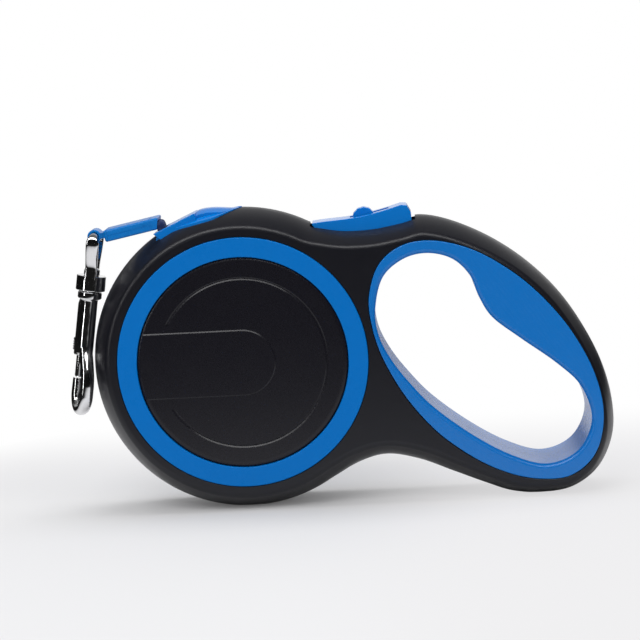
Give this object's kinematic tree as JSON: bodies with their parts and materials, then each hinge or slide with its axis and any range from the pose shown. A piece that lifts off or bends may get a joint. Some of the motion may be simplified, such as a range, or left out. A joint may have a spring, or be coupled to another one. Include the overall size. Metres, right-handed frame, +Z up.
{
  "type": "retractable leash",
  "caption": "Hand-held tape leash: a round reel casing with a hand grip, brake button and lock, and a tape that winds in, ending in a swivel snap hook.",
  "frame": {"origin": "on the floor straight below the reel axle, on the plane where the casing halves meet", "axes": "+X from the reel to the hand grip, +Z up, and the decorated front side looks towards -Y"},
  "size_m": [0.204, 0.0348, 0.1131],
  "materials": {
    "casing_black": "satin moulded plastic",
    "trim_blue": "satin coloured plastic",
    "disc_black": "satin moulded plastic",
    "tape_navy": "woven nylon tape",
    "sleeve_blue": "moulded sleeve",
    "hook_chrome": "polished chrome",
    "pin_steel": "turned steel",
    "spring_steel": "spring steel",
    "reel_plastic": "moulded plastic",
    "pawl_plastic": "moulded plastic"
  },
  "bodies": {
    "casing": {"front_casing": "casing_black", "rear_casing": "casing_black", "front_ring": "trim_blue", "rear_ring": "trim_blue", "front_disc": "disc_black", "rear_disc": "disc_black", "front_grip_liner": "trim_blue", "rear_grip_liner": "trim_blue", "tape_nozzle": "trim_blue", "guide_pin": "pin_steel", "axle_post": "pin_steel", "axle_screws": "pin_steel", "thrust_washers": "pin_steel", "casing_screws": "pin_steel", "button_pin": "pin_steel", "pawl_pin": "pin_steel", "pawl_spring": "spring_steel", "tape_run": "tape_navy"},
    "reel": {"reel_drum": "reel_plastic", "rear_flange": "reel_plastic", "power_spring": "spring_steel", "tape_coil": "tape_navy"},
    "leash_end": {"tape_neck": "tape_navy", "tape_sleeve": "sleeve_blue", "tape_loop": "sleeve_blue"},
    "button": {"brake_button": "trim_blue"},
    "lock": {"lock_slider": "trim_blue"},
    "pawl": {"brake_pawl": "pawl_plastic"},
    "eye": {"swivel_eye": "hook_chrome"},
    "hook": {"hook_body": "hook_chrome", "swivel_rivet": "hook_chrome", "bolt_spring": "spring_steel"},
    "bolt": {"hook_bolt": "hook_chrome"}
  },
  "joints": [
    {"name": "leash_pull", "type": "slide", "parent": "casing", "child": "leash_end", "axis": [-0.9816, 0, -0.1908], "range_m": [0, 0.27359], "stiffness_N_per_m": 8, "springref_m": -0.5, "deforming": ["tape_neck"]},
    {"name": "reel_spin", "type": "hinge", "parent": "casing", "child": "reel", "pos_m": [0, 0, 0.0557], "axis": [0, -1, 0], "continuous": true},
    {"name": "button_press", "type": "hinge", "parent": "casing", "child": "button", "pos_m": [0.0335, 0, 0.0965], "axis": [0, 1, 0], "range_deg": [0, 6], "stiffness_Nm_per_rad": 0.02, "springref_deg": -11.46},
    {"name": "pawl_swing", "type": "hinge", "parent": "casing", "child": "pawl", "pos_m": [0.0515, 0, 0.094], "axis": [0, 1, 0], "range_deg": [-9.5, 0], "deforming": ["pawl_spring"]},
    {"name": "lock_slide", "type": "slide", "parent": "button", "child": "lock", "axis": [1, 0, 0], "range_m": [0, 0.0035]},
    {"name": "hook_hang", "type": "hinge", "parent": "leash_end", "child": "eye", "pos_m": [-0.05325, -0.002, 0.10424], "axis": [0, 1, 0], "range_deg": [0, 110]},
    {"name": "hook_swivel", "type": "hinge", "parent": "eye", "child": "hook", "pos_m": [-0.05325, -0.002, 0.10424], "axis": [0.1564, 0, 0.9877], "range_deg": [-34, 6]},
    {"name": "bolt_draw", "type": "slide", "parent": "hook", "child": "bolt", "axis": [0.1564, 0, 0.9877], "range_m": [0, 0.007], "stiffness_N_per_m": 150, "springref_m": -0.005, "deforming": ["bolt_spring"]}
  ],
  "couplings": [
    {"joint": "reel_spin", "follows": "leash_pull", "rad_per_m": 22.965},
    {"joint": "pawl_swing", "follows": "button_press", "ratio": -1.5714}
  ]
}
